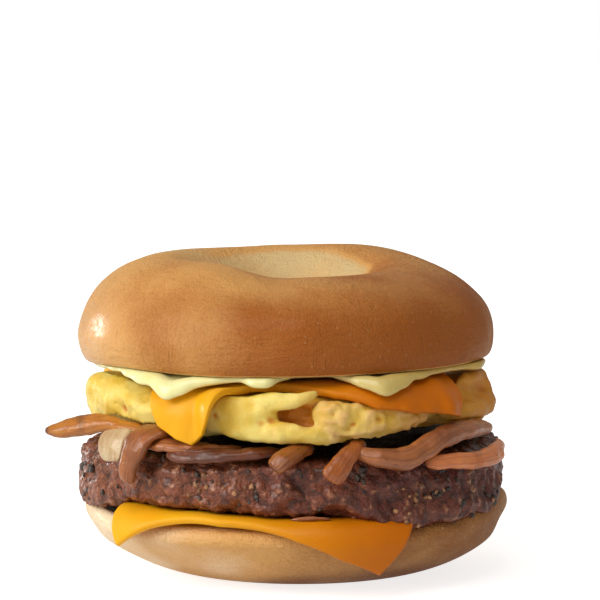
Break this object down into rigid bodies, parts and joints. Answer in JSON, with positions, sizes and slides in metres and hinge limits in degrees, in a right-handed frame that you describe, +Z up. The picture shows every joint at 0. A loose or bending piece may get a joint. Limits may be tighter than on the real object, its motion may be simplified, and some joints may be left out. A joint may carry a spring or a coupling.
{
  "type": "bagel sandwich",
  "caption": "Toasted bagel cut in half and filled with draped cheese slices, a beef patty, browned onion strips, a folded egg and pale sauce.",
  "frame": {"origin": "on the table under the middle of the sandwich's footprint", "axes": "+Z up, +X to the right and +Y to the back as the picture sees the sandwich"},
  "size_m": [0.1188, 0.1187, 0.0822],
  "materials": {
    "crust_top": "glossy baked crust, golden on the left and brown on the right",
    "crust_base": "matt baked crust with a pale floury side",
    "beef": "dark, moist and craggy",
    "egg": "soft satin yellow",
    "cheese": "smooth satin orange",
    "sauce": "glossy pale cream",
    "onion": "glossy browned strips with pale stretches"
  },
  "bodies": {
    "root": {"bagel_heel": "crust_base", "bagel_crown": "crust_top", "patty": "beef", "egg": "egg", "cheese_lower": "cheese", "cheese_upper": "cheese", "spread": "sauce", "onion_far_left": "onion", "onion_petal": "onion", "onion_left_drip": "onion", "onion_left_back": "onion", "onion_front_flat": "onion", "onion_front_stub": "onion", "onion_middle_drip": "onion", "onion_right_long": "onion", "onion_right_low": "onion", "onion_back_right": "onion", "onion_back_bar": "onion", "onion_back_middle": "onion", "onion_back_long": "onion", "onion_back_drip": "onion", "onion_back_left": "onion"}
  },
  "joints": []
}
